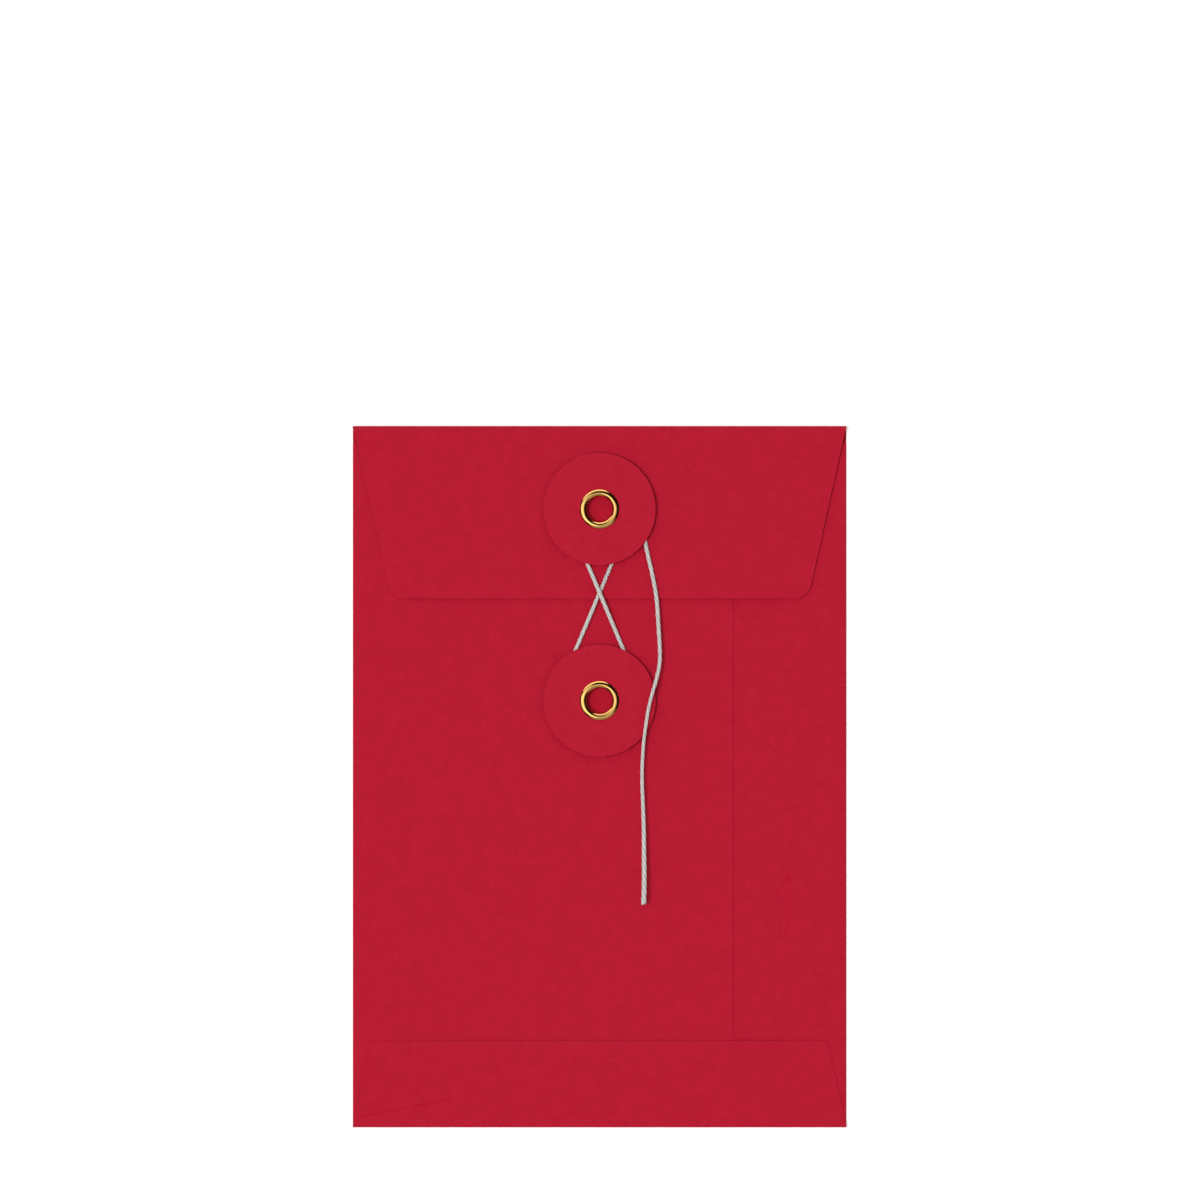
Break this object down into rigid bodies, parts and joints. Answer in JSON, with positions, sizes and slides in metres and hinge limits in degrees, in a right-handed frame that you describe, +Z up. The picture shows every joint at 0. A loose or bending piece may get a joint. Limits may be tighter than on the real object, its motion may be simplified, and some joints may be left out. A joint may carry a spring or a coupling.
{
  "type": "string tie envelope",
  "caption": "Flat paper pocket envelope whose hinged flap is tied shut by a string wound in a figure of eight round card button discs held by brass eyelets.",
  "frame": {"origin": "middle of the address side, on the surface that the envelope lies on", "axes": "+X across the envelope, +Y along it towards the flap's fold, +Z up out of the side with the flap and the string"},
  "size_m": [0.114, 0.162, 0.0045],
  "materials": {
    "envelope_paper": "uncoated, dyed through",
    "button_card": "uncoated card, dyed through",
    "eyelet_brass": "polished",
    "cotton_string": "twisted undyed cotton",
    "seam_glue": "dried adhesive film"
  },
  "bodies": {
    "pocket": {"front_panel": "envelope_paper", "left_fold": "envelope_paper", "right_fold": "envelope_paper", "bottom_fold": "envelope_paper", "left_panel": "envelope_paper", "right_panel": "envelope_paper", "bottom_flap": "envelope_paper", "side_seam_glue": "seam_glue", "bottom_seam_glue": "seam_glue", "body_spacer": "button_card", "body_disc": "button_card", "body_eyelet": "eyelet_brass"},
    "flap": {"closure_flap": "envelope_paper", "flap_crease": "envelope_paper", "flap_spacer": "button_card", "flap_disc": "button_card", "flap_eyelet": "eyelet_brass", "tie_string": "cotton_string"}
  },
  "joints": [
    {"name": "flap_hinge", "type": "hinge", "parent": "pocket", "child": "flap", "pos_m": [0, 0.0801, 0.0009], "axis": [-1, 0, 0], "range_deg": [0, 178], "deforming": ["tie_string", "flap_crease"]}
  ]
}
